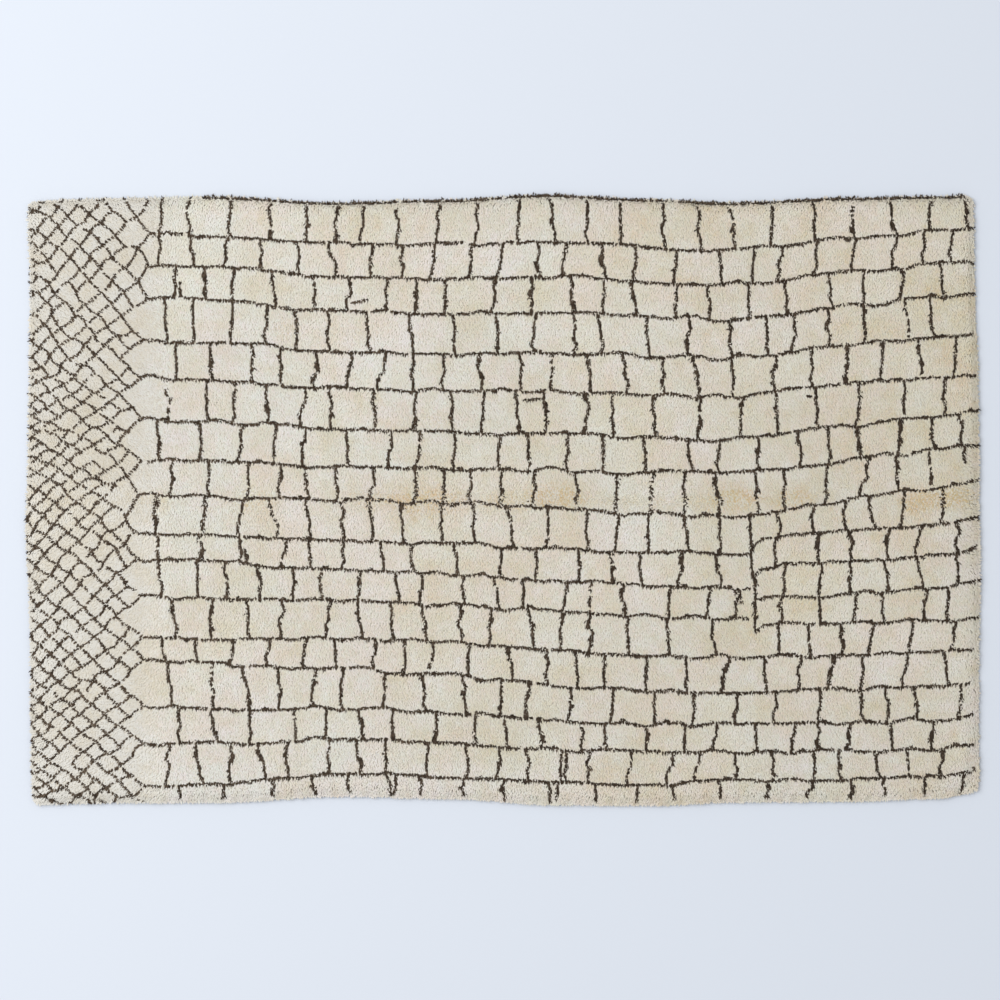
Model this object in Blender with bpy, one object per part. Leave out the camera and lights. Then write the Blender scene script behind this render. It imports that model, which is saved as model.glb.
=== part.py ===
"""A hand-knotted wool shag rug of the Beni Ourain kind, lying flat.

The pile is knotted into its ground weave, so the rug is one piece and one solid: a slab whose top is
lumpy with pile, whose four sides wander as a hand-woven rug's do, and whose rim carries short locks of
pile that stand out over the edge. Metres, +Z up. X runs along the rug, Y across it, and the floor is
at Z = 0 under the middle of the rug.
"""

import math
import random
from collections import namedtuple

import bmesh
import bpy
from mathutils import Vector, noise

# Driving dimensions, in metres.
RUG_LENGTH = 3.00  # along X, over usual locks, before the ends bow out
RUG_WIDTH = 1.90  # along Y, over usual locks, before the sides bow out
PILE_TOP = 0.022  # the usual height of the pile's top over the floor, ground weave included
LOCK_REACH = 0.011  # how far a usual lock of pile stands out past the rim

# The rim, where the pile falls away to the edge of the ground weave.
RIM_TOP = 0.015  # height of the slab at its very edge
RIM_BAND = 0.022  # width of the band over which the pile falls to that height
CORNER_CUT = 0.005  # how far each corner is drawn in, since no corner of the rug is sharp

# Lumps in the pile, and the fold that runs along the middle of the rug. The rug was kept folded in half
# there, so the pile stands up and is taller.
LUMPS = (  # (size across in metres, height in metres)
    (0.26, 0.0022),
    (0.11, 0.0016),
)
FOLD_RISE = 0.0018
FOLD_HALF_WIDTH = 0.045
FOLD_WANDER = 0.012  # how far the fold strays from the rug's middle line
FOLD_WANDER_LENGTH = 0.55

# The mesh of the slab's top. Each square along the rim carries one lock, 220 in all.
SQUARES_LONG = 66
SQUARES_WIDE = 44

# A lock: a four-sided clump of pile that grows out of the rim and thins to its end.
LOCK_ROOT_SHARE = 0.62  # of the rim square's width, left for the root of its lock
LOCK_ROOT_INSET = 0.0032  # from the edges of the rim square to the root, at least
LOCK_END_SHARE = 0.42  # of the root's size, left at the end
LOCK_DROOP = 0.0035  # how far the end hangs below the root
LOCK_SWAY = 0.009  # how far the end leans to either side, at most
LOCK_UNEVEN = 0.40  # of LOCK_REACH, how much longer or shorter a lock may be
SEED = 8

# How far each side bows out (+) or in (-) from its straight line, in metres.
AlongStation = namedtuple("AlongStation", "share top bottom")
ALONG = (  # share is measured along X, from the left end
    AlongStation(0.00, 0.004, 0.003),
    AlongStation(0.04, 0.009, -0.001),
    AlongStation(0.10, 0.014, -0.004),
    AlongStation(0.20, 0.019, -0.006),
    AlongStation(0.32, 0.000, -0.024),
    AlongStation(0.44, 0.009, -0.017),
    AlongStation(0.55, 0.026, 0.002),
    AlongStation(0.66, 0.011, 0.003),
    AlongStation(0.74, 0.000, -0.007),
    AlongStation(0.87, 0.016, -0.010),
    AlongStation(0.96, 0.020, -0.021),
    AlongStation(1.00, 0.022, -0.042),
)
AcrossStation = namedtuple("AcrossStation", "share left right")
ACROSS = (  # share is measured along Y, from the bottom side
    AcrossStation(0.00, -0.014, -0.022),
    AcrossStation(0.05, -0.010, -0.008),
    AcrossStation(0.20, -0.005, -0.006),
    AcrossStation(0.34, 0.000, 0.000),
    AcrossStation(0.48, 0.014, -0.004),
    AcrossStation(0.70, 0.006, -0.002),
    AcrossStation(0.85, 0.002, -0.014),
    AcrossStation(1.00, 0.003, -0.020),
)


def ease(stations, share, column):
    """A column of a station table at a share of the side's length, eased from one station to the next."""
    for here, after in zip(stations, stations[1:]):
        if share <= after.share:
            step = (share - here.share) / (after.share - here.share)
            step = step * step * (3 - 2 * step)
            return getattr(here, column) * (1 - step) + getattr(after, column) * step
    return getattr(stations[-1], column)


def spaced(index, count, length):
    """The share of a side at grid line `index`. The first and last squares are narrow: they make the rim band."""
    band = RIM_BAND / length
    if index == 0:
        return 0.0
    if index == count:
        return 1.0
    return band + (1 - 2 * band) * (index - 1) / (count - 2)


def on_plan(along, across):
    """The plan position of a point at these shares of the rug's length and width."""
    half_long = RUG_LENGTH / 2 - LOCK_REACH
    half_wide = RUG_WIDTH / 2 - LOCK_REACH
    left = -half_long - ease(ACROSS, across, "left")
    right = half_long + ease(ACROSS, across, "right")
    bottom = -half_wide - ease(ALONG, along, "bottom")
    top = half_wide + ease(ALONG, along, "top")
    return left + along * (right - left), bottom + across * (top - bottom)


def fold_line(x):
    """Where the fold crosses at this X, in metres from the middle line."""
    return FOLD_WANDER * noise.noise(Vector((x / FOLD_WANDER_LENGTH, 0.0, 3.7)))


def pile_height(x, y):
    """The height of the pile's top away from the rim."""
    height = PILE_TOP
    for size, rise in LUMPS:
        height += rise * noise.noise(Vector((x / size, y / size, size)))
    off_fold = (y - fold_line(x)) / FOLD_HALF_WIDTH
    return height + FOLD_RISE * math.exp(-off_fold**2)


def make_top(mesh):
    """The pile's top as a grid of squares, bent to the rug's outline and to its lumps."""
    bmesh.ops.create_grid(mesh, x_segments=SQUARES_LONG, y_segments=SQUARES_WIDE, size=1.0)
    for vertex in mesh.verts:
        column = round((vertex.co.x + 1) / 2 * SQUARES_LONG)
        row = round((vertex.co.y + 1) / 2 * SQUARES_WIDE)
        x, y = on_plan(spaced(column, SQUARES_LONG, RUG_LENGTH), spaced(row, SQUARES_WIDE, RUG_WIDTH))
        at_side = row in (0, SQUARES_WIDE)
        at_end = column in (0, SQUARES_LONG)
        if at_side and at_end:
            x -= CORNER_CUT if x > 0 else -CORNER_CUT
            y -= CORNER_CUT if y > 0 else -CORNER_CUT
        z = RIM_TOP if at_side or at_end else pile_height(x, y)
        vertex.co = (x, y, z)


def make_slab(mesh):
    """Gives the top its walls and its flat underside. Returns the walls, one face for each rim square."""
    top = list(mesh.faces)
    extruded = bmesh.ops.extrude_face_region(mesh, geom=top)["geom"]
    under = [part for part in extruded if isinstance(part, bmesh.types.BMVert)]
    for vertex in under:
        vertex.co.z = 0.0
    under_faces = [part for part in extruded if isinstance(part, bmesh.types.BMFace)]
    bmesh.ops.dissolve_faces(mesh, faces=under_faces, use_verts=False)
    bmesh.ops.recalc_face_normals(mesh, faces=mesh.faces)
    mesh.normal_update()
    return [face for face in mesh.faces if abs(face.normal.z) < 0.3 and len(face.verts) == 4]


def grow_lock(mesh, wall, chance):
    """Grows one lock of pile out of a wall face: a root set in from the face's edges, then a thinner end."""
    outward = wall.normal.copy()
    bmesh.ops.inset_individual(mesh, faces=[wall], thickness=LOCK_ROOT_INSET, use_even_offset=True)
    middle = wall.calc_center_median()
    along = Vector((0, 0, 1)).cross(outward).normalized()
    for corner in wall.verts:
        corner.co -= along * (corner.co - middle).dot(along) * (1 - LOCK_ROOT_SHARE)

    end = bmesh.ops.extrude_discrete_faces(mesh, faces=[wall])["faces"][0]
    reach = LOCK_REACH * (1 + chance.uniform(-LOCK_UNEVEN, LOCK_UNEVEN))
    tip = middle + outward * reach + along * chance.uniform(-LOCK_SWAY, LOCK_SWAY)
    tip.z -= LOCK_DROOP * chance.uniform(0.3, 1.0)
    for corner in end.verts:
        corner.co = tip + (corner.co - middle) * LOCK_END_SHARE


def centre_on_floor(mesh):
    """Moves the rug so that the middle of its box is over the origin and it lies on the floor."""
    corners = [vertex.co for vertex in mesh.verts]
    for axis, share in ((0, 0.5), (1, 0.5), (2, 0.0)):
        low = min(corner[axis] for corner in corners)
        high = max(corner[axis] for corner in corners)
        middle = low + share * (high - low)
        for corner in corners:
            corner[axis] -= middle


def wool():
    """The undyed cream wool of the pile."""
    material = bpy.data.materials.new("cream_wool")
    material.use_nodes = True
    shader = material.node_tree.nodes["Principled BSDF"]
    shader.inputs["Base Color"].default_value = (0.66, 0.61, 0.51, 1.0)
    shader.inputs["Roughness"].default_value = 0.95
    shader.inputs["Metallic"].default_value = 0.0
    return material


def build_rug(collection):
    """The whole rug as one object."""
    chance = random.Random(SEED)
    mesh = bmesh.new()
    make_top(mesh)
    for wall in make_slab(mesh):
        grow_lock(mesh, wall, chance)
    bmesh.ops.recalc_face_normals(mesh, faces=mesh.faces)
    centre_on_floor(mesh)

    data = bpy.data.meshes.new("shag_rug")
    mesh.to_mesh(data)
    mesh.free()
    data.shade_smooth()
    data.set_sharp_from_angle(angle=0.7)
    data.materials.append(wool())
    rug = bpy.data.objects.new("shag_rug", data)
    collection.objects.link(rug)
    return rug


def main():
    for leftover in list(bpy.data.objects):
        bpy.data.objects.remove(leftover, do_unlink=True)
    collection = bpy.data.collections.new("beni_ourain_rug")
    bpy.context.scene.collection.children.link(collection)
    build_rug(collection)


main()
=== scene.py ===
"""Dresses the rug: a cream wool shag knotted by hand on a flat ground weave, with a dark net of uneven
squares and a strip of small diamonds at one end.

Every knot of the rug has its own place on the loom, one of 320 by 268, and holds either cream or dark
wool. The net and the diamonds are drawn as lines on the loom and then counted into knots. Each knot
grows a few strands of wool, which lean the way the pile was brushed, are ruffled along the old fold and
hang over the rim.

Metres. X runs along the rug, Y across it, Z is up. Loom places are metres from the rug's lower left
corner.
"""

import logging
import math
from collections.abc import Iterator
from dataclasses import dataclass, field, fields
from enum import Enum
from typing import NamedTuple

import bpy
import numpy as np
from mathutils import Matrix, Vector
from mathutils.bvhtree import BVHTree


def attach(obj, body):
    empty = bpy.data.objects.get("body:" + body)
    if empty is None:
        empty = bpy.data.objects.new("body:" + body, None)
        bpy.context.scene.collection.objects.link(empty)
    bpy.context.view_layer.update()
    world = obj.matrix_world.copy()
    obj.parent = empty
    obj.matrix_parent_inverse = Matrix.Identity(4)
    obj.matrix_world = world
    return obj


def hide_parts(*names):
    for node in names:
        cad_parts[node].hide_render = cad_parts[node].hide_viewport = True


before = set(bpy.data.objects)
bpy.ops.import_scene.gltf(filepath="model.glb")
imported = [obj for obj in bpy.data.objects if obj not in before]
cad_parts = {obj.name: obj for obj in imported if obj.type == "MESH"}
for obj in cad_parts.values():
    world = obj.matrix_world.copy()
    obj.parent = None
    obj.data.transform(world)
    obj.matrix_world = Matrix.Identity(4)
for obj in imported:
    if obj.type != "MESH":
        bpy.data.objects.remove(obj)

LOG = logging.getLogger("beni_ourain_rug")
NODE = "shag_rug"
SHADER = "Principled BSDF"
UV_NAME = "OFBake"
LOOM_LENGTH = 3.0  # of the loomed cloth, along X
LOOM_WIDTH = 1.93  # of the loomed cloth, along Y


class Wool(Enum):
    """The two undyed wools of the rug."""

    CREAM = 0
    DARK = 1


class Span(Enum):
    """How much of the rug's length a course of the net crosses."""

    WHOLE = "whole"
    TO_SEAM = "left of the seam"
    FROM_SEAM = "right of the seam"


def eased(share: np.ndarray) -> np.ndarray:
    """A share from 0 to 1, eased in and out."""
    return share * share * (3 - 2 * share)


def ramp(low: float, high: float, value: np.ndarray) -> np.ndarray:
    """Goes smoothly from 0 at `low` to 1 at `high`, whichever of the two is larger."""
    return eased(np.clip((value - low) / (high - low), 0.0, 1.0))


def in_scene(name: str, data: bpy.types.ID) -> bpy.types.Object:
    """Makes an object of this data and puts it in the scene."""
    made = bpy.data.objects.new(name, data)
    bpy.context.scene.collection.objects.link(made)
    return made


def matte_finish(name: str, roughness: float, gloss: float) -> bpy.types.Material:
    """Makes a material.

    Args:
        name: of the material.
        roughness: of its surface.
        gloss: its specular level.

    Returns:
        The material, with no colour of its own yet.
    """
    made = bpy.data.materials.new(name)
    made.use_nodes = True
    shader = made.node_tree.nodes[SHADER]
    shader.inputs["Roughness"].default_value = roughness
    shader.inputs["Specular IOR Level"].default_value = gloss
    return made


def add_bump(
    material: bpy.types.Material,
    height: bpy.types.NodeSocket,
    strength: float,
    depth: float,
) -> None:
    """Roughens a material's surface.

    Args:
        material: the material.
        height: the socket that the surface's height is read from.
        strength: of the bump, from 0 to 1.
        depth: of the bump, in metres.
    """
    nodes, links = material.node_tree.nodes, material.node_tree.links
    bump = nodes.new("ShaderNodeBump")
    bump.inputs["Strength"].default_value = strength
    bump.inputs["Distance"].default_value = depth
    links.new(height, bump.inputs["Height"])
    links.new(bump.outputs["Normal"], nodes[SHADER].inputs["Normal"])


@dataclass(frozen=True)
class Drift:
    """Smooth, seeded unevenness over the rug, from about -1 to 1.

    Attributes:
        size: how far apart its highs and lows are, in metres.
        seed: picks one drift out of all there could be.
        cells: how many highs and lows it has each way before it repeats.
    """

    size: float
    seed: int
    cells: int = 160

    def at(self, x: np.ndarray, y: np.ndarray | float = 0.0) -> np.ndarray:
        """Reads the drift.

        Args:
            x: places along the rug.
            y: places across it.

        Returns:
            The drift at each place.
        """
        table = np.random.default_rng(self.seed).uniform(-1.0, 1.0, (self.cells, self.cells))
        along = np.asarray(x, float) / self.size + self.cells / 2
        across = np.asarray(y, float) / self.size + self.cells / 2
        column, row = np.floor(along).astype(int), np.floor(across).astype(int)
        a, b = eased(along - column), eased(across - row)

        def on_row(row: np.ndarray) -> np.ndarray:
            """The drift on a row of the table, between one column and the next."""
            here = table[row % self.cells, column % self.cells]
            after = table[row % self.cells, (column + 1) % self.cells]
            return here * (1 - a) + after * a

        return on_row(row) * (1 - b) + on_row(row + 1) * b


class Overhang(NamedTuple):
    """How far the outermost knots are past the solid's walls, in metres.

    Attributes:
        share: of each side, from its left or lower end.
        lower: past the lower side.
        upper: past the upper side.
        left: past the left side.
        right: past the right side.
    """

    share: float
    lower: float
    upper: float
    left: float
    right: float


OVERHANGS = (
    Overhang(0.00, 0.006, 0.004, 0.009, 0.030),
    Overhang(0.05, 0.006, 0.006, 0.009, 0.015),
    Overhang(0.35, 0.004, 0.006, 0.006, 0.009),
    Overhang(0.60, 0.006, 0.005, 0.003, 0.006),
    Overhang(0.90, 0.006, 0.005, 0.007, 0.007),
    Overhang(1.00, 0.008, 0.006, 0.012, 0.010),
)


@dataclass
class RugPlan:
    """The rug's outline and the height of its pile, read from its solid.

    Attributes:
        solid: the rug's CAD node.
        length: of the loomed cloth, along X.
        width: of the loomed cloth, along Y.
        underside: points of the solid lower than this are on its underside.
        survey_rows: rows of places at which the pile's height is read.
        survey_columns: places in each row.
        survey_inset: share of its distance from the rug's middle to which each place is drawn in.
        bare_height: the height taken where the solid isn't under a place.
        edge_height: of the bed at the very edge.
    """

    solid: bpy.types.Object
    length: float = LOOM_LENGTH
    width: float = LOOM_WIDTH
    underside: float = 0.0004
    survey_rows: int = 97
    survey_columns: int = 151
    survey_inset: float = 0.998
    bare_height: float = 0.014
    edge_height: float = 0.003

    def __post_init__(self) -> None:
        """Reads the four sides from the rim at the floor, and the top by looking down on it."""
        points = np.array([vertex.co for vertex in self.solid.data.vertices])
        rim = np.unique(np.round(points[points[:, 2] < self.underside, :2], 4), axis=0)
        rim = rim[np.argsort(np.arctan2(rim[:, 1] / self.width, rim[:, 0] / self.length))]
        corner = {
            (long, wide): int(np.argmax(long * rim[:, 0] / self.length + wide * rim[:, 1] / self.width))
            for long in (-1, 1)
            for wide in (-1, 1)
        }
        self.lower = self._run(rim, corner[-1, -1], corner[1, -1])
        self.right = self._run(rim, corner[1, -1], corner[1, 1])
        self.upper = self._run(rim, corner[1, 1], corner[-1, 1])[::-1]
        self.left = self._run(rim, corner[-1, 1], corner[-1, -1])[::-1]
        for name, axis, outward in (("lower", 1, -1), ("upper", 1, 1), ("left", 0, -1), ("right", 0, 1)):
            side = getattr(self, name)
            along = side[:, 1 - axis]
            share = (along - along[0]) / (along[-1] - along[0])
            past = [getattr(overhang, name) for overhang in OVERHANGS]
            side[:, axis] += outward * np.interp(share, [overhang.share for overhang in OVERHANGS], past)
        tree = BVHTree.FromPolygons(
            [vertex.co for vertex in self.solid.data.vertices],
            [face.vertices for face in self.solid.data.polygons],
        )
        self.heights = self._survey(tree)

    @staticmethod
    def _run(rim: np.ndarray, start: int, end: int) -> np.ndarray:
        """The rim's points from one corner to the next, anticlockwise.

        Args:
            rim: all its points, anticlockwise.
            start: which of them is the first corner.
            end: which of them is the next.

        Returns:
            The points, both corners among them.
        """
        if end < start:
            end += len(rim)
        return rim[np.arange(start, end + 1) % len(rim)]

    def _survey(self, tree: BVHTree) -> np.ndarray:
        """Looks straight down on the pile at evenly spaced places.

        Args:
            tree: the solid's faces.

        Returns:
            The pile's height at each place, one row of places after the other.
        """
        chart = np.zeros((self.survey_rows, self.survey_columns))
        down = Vector((0.0, 0.0, -1.0))
        for row, v in enumerate(np.linspace(0.0, 1.0, self.survey_rows)):
            for column, u in enumerate(np.linspace(0.0, 1.0, self.survey_columns)):
                x, y = self.place(np.array([u]), np.array([v]))
                eye = Vector((x[0] * self.survey_inset, y[0] * self.survey_inset, 1.0))
                hit = tree.ray_cast(eye, down)[0]
                chart[row, column] = hit.z if hit else self.bare_height
        return chart

    def place(self, u: np.ndarray, v: np.ndarray) -> tuple[np.ndarray, np.ndarray]:
        """Turns shares of the loomed cloth into places on the floor.

        Args:
            u: shares of the length, from the left end.
            v: shares of the width, from the lower side.

        Returns:
            X and Y of each place.
        """

        def side(points: np.ndarray, along: int, at: np.ndarray) -> np.ndarray:
            """Where a side is, across the axis that it runs along, at shares of its length."""
            line = points[:, along]
            return np.interp(line[0] + at * (line[-1] - line[0]), line, points[:, 1 - along])

        left, right = side(self.left, 1, v), side(self.right, 1, v)
        lower, upper = side(self.lower, 0, u), side(self.upper, 0, u)
        return left + u * (right - left), lower + v * (upper - lower)

    def to_rim(self, u: np.ndarray, v: np.ndarray) -> tuple[np.ndarray, np.ndarray]:
        """How far shares of the cloth are from its nearest side, in metres, and the way out over it."""
        sides = np.stack([u * self.length, (1 - u) * self.length, v * self.width, (1 - v) * self.width])
        return sides.min(0), np.radians(np.array([180.0, 0.0, -90.0, 90.0]))[sides.argmin(0)]

    def bed(self, u: np.ndarray, v: np.ndarray, depth: float, fall: float = 0.014) -> np.ndarray:
        """The height `depth` under the pile's top, falling away over the last `fall` metres to the rim."""
        inside = ramp(0.0, fall, self.to_rim(u, v)[0])
        return self.edge_height + (self.top(u, v) - depth - self.edge_height) * inside

    def top(self, u: np.ndarray, v: np.ndarray) -> np.ndarray:
        """Reads the pile's height from the survey.

        Args:
            u: shares of the length.
            v: shares of the width.

        Returns:
            The height at each place.
        """
        rows, columns = self.heights.shape
        across, along = np.clip(v, 0, 1) * (rows - 1), np.clip(u, 0, 1) * (columns - 1)
        row = np.minimum(across.astype(int), rows - 2)
        column = np.minimum(along.astype(int), columns - 2)
        b, a = across - row, along - column
        low = self.heights[row, column] * (1 - a) + self.heights[row, column + 1] * a
        high = self.heights[row + 1, column] * (1 - a) + self.heights[row + 1, column + 1] * a
        return low * (1 - b) + high * b


@dataclass
class KnotChart:
    """Which knots hold dark wool: a grid of knots, with lines counted into it.

    Attributes:
        columns: knots along the rug.
        rows: knots across it.
        length: of the loomed cloth.
        width: of the loomed cloth.
        pull: how far a line's second knot is pulled toward the line, in knots.
        slow_swell: how fast a line thickens and thins, in radians for each knot.
        quick_swell: the same for the quicker of its two swells.
    """

    columns: int = 320
    rows: int = 268
    length: float = LOOM_LENGTH
    width: float = LOOM_WIDTH
    pull: float = 0.4
    slow_swell: float = 0.37
    quick_swell: float = 0.83

    def __post_init__(self) -> None:
        """Starts with cream wool all over."""
        self.dark = np.zeros((self.rows, self.columns), bool)
        self.shift = np.zeros((self.rows, self.columns, 2))
        self.spread = np.ones((self.rows, self.columns))
        self.pitch_along = self.length / self.columns
        self.pitch_across = self.width / self.rows

    def tie(self, place: np.ndarray, spread: float, beside: tuple[int, int] = (0, 0)) -> None:
        """Puts dark wool in the knot at a place, pulled to where the line crosses the knot.

        Args:
            place: on the loom, counted in knots.
            spread: how far its strands spread to the sides, as a share of the knot's width.
            beside: (columns, rows) to a neighbour that takes the wool in its stead, pulled toward the line.
        """
        column, row = np.round(place).astype(int) + beside
        if 0 <= column < self.columns and 0 <= row < self.rows:
            self.dark[row, column] = True
            self.shift[row, column] = place - np.round(place) - self.pull * np.array(beside)
            self.spread[row, column] = spread

    def draw(
        self,
        line: np.ndarray,
        chance: np.random.Generator,
        missed: float = 0.01,
        thick: float = 0.10,
        spread: float = 0.58,
    ) -> None:
        """Counts a line into knots, one knot wide, with thicker runs and missed knots.

        Args:
            line: the line's points, as loom places.
            chance: the weaver's hand.
            missed: share of the knots that stay cream.
            thick: about what share of the line is two knots wide.
            spread: how far each knot's strands spread to the sides, as a share of its width.
        """
        knots = line / np.array([self.pitch_along, self.pitch_across]) - 0.5
        walked = np.concatenate([[0.0], np.cumsum(np.abs(np.diff(knots, axis=0)).max(1))])
        at = np.arange(0.0, walked[-1], 1.0)
        places = np.stack([np.interp(at, walked, knots[:, axis]) for axis in (0, 1)], 1)
        upright = abs(knots[-1, 1] - knots[0, 1]) > abs(knots[-1, 0] - knots[0, 0])
        side = int(chance.choice((-1, 1)))
        slow = np.sin(at * self.slow_swell + chance.uniform(0, 6))
        quick = np.sin(at * self.quick_swell + chance.uniform(0, 6))
        for place, heavy in zip(places, slow + quick > 2 - 4 * thick):
            if chance.random() < missed:
                continue
            self.tie(place, spread)
            if heavy:
                self.tie(place, spread, (side, 0) if upright else (0, side))


class Course(NamedTuple):
    """One long line of the net, as heights above the rug's lower side, in centimetres.

    Attributes:
        left: where the line starts, beside the diamonds.
        third: a third of the way along.
        seam: beside the seam, three quarters of the way along.
        right: at the right end.
        span: how much of the rug it crosses.
    """

    left: float
    third: float
    seam: float
    right: float
    span: Span = Span.WHOLE


COURSES = (
    Course(182.5, 180.0, 178.5, 183.5),
    Course(172.5, 169.0, 167.5, 173.0),
    Course(162.0, 157.5, 156.5, 162.0),
    Course(148.5, 144.5, 144.0, 149.5),
    Course(136.5, 132.5, 131.5, 136.5),
    Course(123.0, 119.0, 117.5, 124.0),
    Course(110.0, 107.0, 106.5, 113.0),
    Course(98.5, 96.0, 92.5, 101.0),
    Course(87.0, 83.0, 80.5, 80.5, Span.TO_SEAM),
    Course(78.0, 73.5, 69.5, 69.5, Span.TO_SEAM),
    Course(66.0, 63.5, 60.0, 60.0, Span.TO_SEAM),
    Course(84.5, 84.5, 84.5, 89.0, Span.FROM_SEAM),
    Course(75.5, 75.5, 75.5, 79.0, Span.FROM_SEAM),
    Course(65.5, 65.5, 65.5, 68.0, Span.FROM_SEAM),
    Course(57.5, 57.5, 57.5, 57.5, Span.FROM_SEAM),
    Course(53.0, 51.5, 47.0, 47.0),
    Course(45.5, 41.0, 35.5, 36.5),
    Course(31.0, 28.5, 25.5, 25.5),
    Course(19.0, 18.5, 16.5, 16.0),
    Course(5.5, 7.5, 7.0, 7.0),
)


@dataclass
class DiamondStrip:
    """The strip of small diamonds at the left end.

    The crossings of its lines stand in columns, each half a diamond out of step with the next. The first
    column has a crossing where each course of the net starts. Toward the left end a crossing is let in
    here and there, so that the diamonds get smaller.

    Attributes:
        chart: the chart that its lines are counted into.
        reaches: (height above the rug's lower side, how far in from the left end the first column is there).
        under: how far under the lowest course the first column's last crossings are.
        over: how far over the highest course its last crossings are.
        lone_gap: courses closer than this have one crossing of the second column between them, not two.
        columns: of crossings.
        first_step: from the first column to the second.
        last_step: between the last two columns.
        largest: the usual height of a diamond at the inner side.
        smallest: the same at the left end.
        crowded: how much smaller the diamonds are along the rug's lower side, as a share.
        crowded_from: height under which they start to be smaller.
        crowded_under: height under which they are that much smaller.
        settled: share of the way that a crossing moves to the middle of its neighbours, each time.
        settlings: how many times it does, when a crossing is let in.
        stray: how far the whole strip is pulled out of true.
        stray_size_up: how far apart the highs and lows of that pull are, for heights.
        stray_size_in: the same for places along the rug.
        waver: how far a crossing strays from its neighbours.
        held: how free the first column is to stray in height, as a share, since the courses start there.
        bow: how far a diamond's side is bent, as a share of its length.
        dropped: share of the diamonds' sides that are left out.
        low_gap: how far from the rug's lower side the lines end.
        corner_gap: how far from its upper side they end near the corner.
        corner: how far in from the left end that is so.
        leant_spread: how far the strands of a side spread that the pile leans over.
        other_spread: the same for the other sides.
        seed: picks one strip out of all there could be.
    """

    chart: KnotChart
    reaches: tuple[tuple[float, float], ...] = ((0.0, 0.358), (1.50, 0.352), (1.72, 0.374), (1.93, 0.378))
    under: tuple[float, ...] = (0.14, 0.07)
    over: tuple[float, ...] = (0.11, 0.22)
    lone_gap: float = 0.116
    columns: int = 12
    first_step: float = 0.0395
    last_step: float = 0.0315
    largest: float = 0.077
    smallest: float = 0.055
    crowded: float = 0.35
    crowded_from: float = 0.60
    crowded_under: float = 0.10
    settled: float = 0.35
    settlings: int = 3
    stray: float = 0.007
    stray_size_up: float = 0.10
    stray_size_in: float = 0.08
    waver: float = 0.0030
    held: float = 0.25
    bow: float = 0.08
    dropped: float = 0.03
    low_gap: float = 0.002
    corner_gap: float = 0.004
    corner: float = 0.23
    leant_spread: float = 0.66
    other_spread: float = 0.28
    seed: int = 21

    def __post_init__(self) -> None:
        """Readies the weaver's hand."""
        self.chance = np.random.default_rng(self.seed)

    def reach(self, y: np.ndarray) -> np.ndarray:
        """How far in from the left end the strip comes at each height."""
        return np.interp(y, *zip(*self.reaches))

    def crossings(self) -> list[np.ndarray]:
        """The heights of the crossings in each column.

        Returns:
            One row of heights for each column, from the inner side to the left end.
        """
        starts = sorted(course.left / 100 for course in COURSES if course.span is not Span.FROM_SEAM)
        lowest = [starts[0] - drop for drop in self.under]
        highest = [starts[-1] + rise for rise in self.over]
        points = np.array([*lowest, *starts, *highest])
        beside = []
        for lower, upper in zip(points, points[1:]):
            quarter = (upper - lower) / 4
            one = upper - lower < self.lone_gap
            beside.extend([lower + 2 * quarter] if one else [lower + quarter, upper - quarter])
        found = [points, np.array(beside)]
        for column in range(2, self.columns):
            wanted = self.largest + (self.smallest - self.largest) * column / (self.columns - 1)
            before = np.concatenate([[found[-1][0] - wanted], found[-1], [found[-1][-1] + wanted]])
            heights = (before[1:] + before[:-1]) / 2
            while self._gaps(heights).mean() > wanted:
                odds = self._gaps(heights) ** 4
                after = self.chance.choice(len(odds), p=odds / odds.sum())
                heights = np.insert(heights, after + 1, heights[after : after + 2].mean())
                for _ in range(self.settlings):
                    heights[1:-1] += self.settled * ((heights[:-2] + heights[2:]) / 2 - heights[1:-1])
            found.append(heights)
        return found

    def _gaps(self, heights: np.ndarray) -> np.ndarray:
        """The gaps between a column's crossings, those low down counted as larger than they are."""
        middles = (heights[1:] + heights[:-1]) / 2
        return np.diff(heights) * (1 + self.crowded * ramp(self.crowded_from, self.crowded_under, middles))

    def knot(self) -> None:
        """Draws the sides of all the diamonds on the chart."""
        pulled_up = Drift(self.stray_size_up, self.seed + 1)
        pulled_in = Drift(self.stray_size_in, self.seed + 2)
        steps = np.linspace(self.first_step, self.last_step, self.columns - 1)
        places = []
        for inward, heights in zip(np.concatenate([[0.0], np.cumsum(steps)]), self.crossings()):
            x = self.reach(heights) - inward
            free = 1.0 if inward else self.held
            y = heights + free * (self.stray * pulled_up.at(x, heights))
            y = y + free * self.chance.normal(0.0, self.waver, len(y))
            along = x + self.stray * pulled_in.at(x, heights)
            along = along + self.chance.normal(0.0, self.waver, len(y))
            places.append(np.stack([along, y], 1))
        for here, beyond in zip(places, places[1:]):
            for crossing in here:
                above = np.searchsorted(beyond[:, 1], crossing[1])
                for other in beyond[max(0, above - 1) : above + 1]:
                    if self.chance.random() > self.dropped:
                        self._side(crossing, other)

    def _side(self, start: np.ndarray, end: np.ndarray) -> None:
        """Draws one side of a diamond, a little bent, as far as it is on the rug.

        The pile leans down and to the middle of the end, so a side that it leans over is spread wider.

        Args:
            start: the crossing that the side starts from.
            end: the crossing that it goes to, nearer the left end.
        """
        share = np.linspace(0.0, 1.0, 15)[:, None]
        along = end - start
        bent = self.chance.normal(0.0, self.bow) * 4 * share * (1 - share) * np.array([-along[1], along[0]])
        line = start + share * along + bent
        top = self.chart.width - np.where(line[:, 0] < self.corner, self.corner_gap, 0.0)
        line = line[(line[:, 0] > 0.0) & (line[:, 1] > self.low_gap) & (line[:, 1] < top)]
        if len(line) > 1:
            leant_over = (end[1] < start[1]) == (start[1] > self.chart.width / 2)
            spread = self.leant_spread if leant_over else self.other_spread
            self.chart.draw(line, self.chance, missed=0.02, thick=0.04, spread=spread)


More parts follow.
